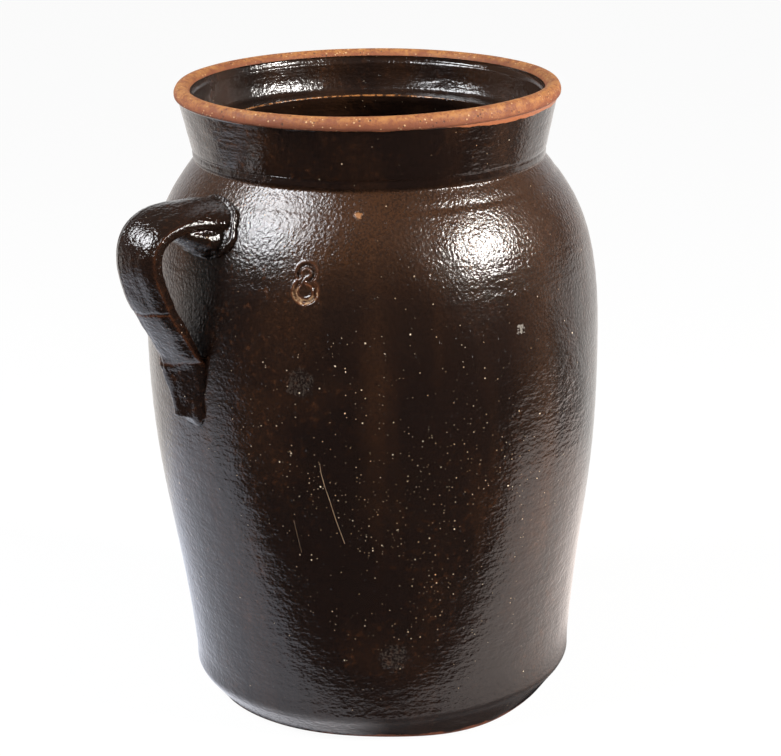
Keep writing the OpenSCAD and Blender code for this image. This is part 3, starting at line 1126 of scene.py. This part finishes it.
def table_color(shader):
    """The floor as the glaze shows it: a table that ends in front of the jar, with a painted shadow close to
    the foot.
    """
    across, depth, _ = turned_to_view(shader)
    radius = radius_of(shader)
    sides = shader.mix(across.eased(-0.15, 0.15), table_left, table_right)
    sides = shader.mix(depth.eased(0.15, 0.35), sides, table_far)
    # Painted shadow in the reflected table: dark close to the foot, wider on its right, with a dark contact
    # line at the foot
    right_shade = shader.most(radius.eased(0.108, 0.145, foot_shade, 1.0), across.eased(0.015, -0.03))
    near_foot_shadow = radius.eased((foot_r + 3.4) * MM, (foot_r + 6.4) * MM)
    near_foot_shadow = shader.most(near_foot_shadow, across.eased(0.03, -0.03))
    contact_shadow = radius.eased((foot_r + 0.6) * MM, (foot_r + 2.0) * MM)
    beside = across.eased(*table_right_end) * across.eased(*table_left_end)
    table = shader.mix(shader.most(beside, depth.eased(*table_behind)), studio_side, sides)
    table = shader.mix(right_shade * near_foot_shadow * contact_shadow, studio_dark, table)
    ahead = shader.math("MULTIPLY_ADD", shader.math("ABSOLUTE", across), table_flare, depth)
    return shader.mix(ahead.eased(*table_edge), studio_dark, table)


def add_floor():
    """A white floor that keeps the jar's shadow."""
    half = floor_size / 2
    mesh = bpy.data.meshes.new("floor")
    square = [(-half, -half, 0), (half, -half, 0), (half, half, 0), (-half, half, 0)]
    mesh.from_pydata(square, [], [(0, 1, 2, 3)])
    floor = placed("floor", mesh)
    floor.location.z = -floor_sink
    material, shader = new_material("floor_white")
    to_camera = shader.wire("LightPath", output="Is Camera Ray")
    to_gloss = shader.wire("LightPath", output="Is Glossy Ray")
    lit = shader.wire("BsdfDiffuse", {"Color": floor_pale})
    plain = shader.wire("Emission", {"Color": white, "Strength": 1.0})
    seen = shader.wire("Emission", {"Color": table_color(shader), "Strength": 1.0})
    pale = shader.wire("MixShader", {0: to_camera * floor_white_share, 1: lit, 2: plain})
    both = shader.wire("MixShader", {0: to_gloss, 1: pale, 2: seen})
    shader.node("OutputMaterial", {"Surface": both})
    mesh.materials.append(material)


def add_softbox(name, right_degrees, up_degrees, distance, width, height, radiance, color):
    """A soft light that faces the jar from a place right of the camera's direction and above the floor."""
    lamp = bpy.data.lights.new(name, "AREA")
    lamp.shape = "RECTANGLE"
    lamp.size = width
    lamp.size_y = height
    lamp.energy = radiance * math.pi * width * height
    lamp.color = color
    angle = view_angle + math.radians(right_degrees)
    up = math.radians(up_degrees)
    towards = Matrix.Rotation(angle, 3, "Z") @ Vector((math.cos(up), 0, math.sin(up)))
    light = placed(name, lamp)
    light.location = Vector((0, 0, belly_h * MM)) + towards * distance
    light.rotation_euler = towards.to_track_quat("Z", "Y").to_euler()


def add_world():
    """White to the camera; in the light and the reflections, bright behind the jar and dark in front."""
    world = bpy.data.worlds.new("studio")
    bpy.context.scene.world = world
    world.use_nodes = True
    shader = Shader(world.node_tree, "Generated")
    _, depth, up = turned_to_view(shader)
    backdrop = depth.eased(0.6, 0.9) * up.eased(*backdrop_top)
    to_camera = shader.wire("LightPath", output="Is Camera Ray")
    seen = shader.layers(
        studio_dark, (depth.eased(-0.55, 0.05), studio_side), (up.eased(0.35, 0.85), studio_above),
        (backdrop, studio_behind), (to_camera, white))
    background = shader.wire("Background", {"Color": seen, "Strength": 1.0})
    shader.node("OutputWorld", {"Surface": background})


def add_camera():
    """The camera at the photograph's place and angle."""
    lens = bpy.data.cameras.new("camera")
    lens.sensor_fit = "HORIZONTAL"
    lens.sensor_width = sensor_width
    lens.lens = focal_pixels / image_width * sensor_width
    camera = placed("camera", lens)
    place = Matrix.Translation(Vector((camera_side, -camera_back, camera_height)) * MM)
    tip = Matrix.Rotation(math.pi / 2 - camera_pitch, 4, "X") @ Matrix.Rotation(camera_roll, 4, "Z")
    camera.matrix_world = Matrix.Rotation(view_turn, 4, "Z") @ place @ tip
    bpy.context.scene.camera = camera


add_floor()
add_world()
add_softbox(
    "right_softbox", right_degrees=65, up_degrees=27, distance=1.5,
    width=0.36, height=0.30, radiance=114, color=(1.0, 0.97, 0.93))
add_softbox(
    "left_softbox", right_degrees=-69, up_degrees=42.5, distance=1.4,
    width=0.65, height=0.64, radiance=23, color=(0.96, 0.97, 1.0))
add_camera()
bpy.context.scene.view_settings.view_transform = "Standard"
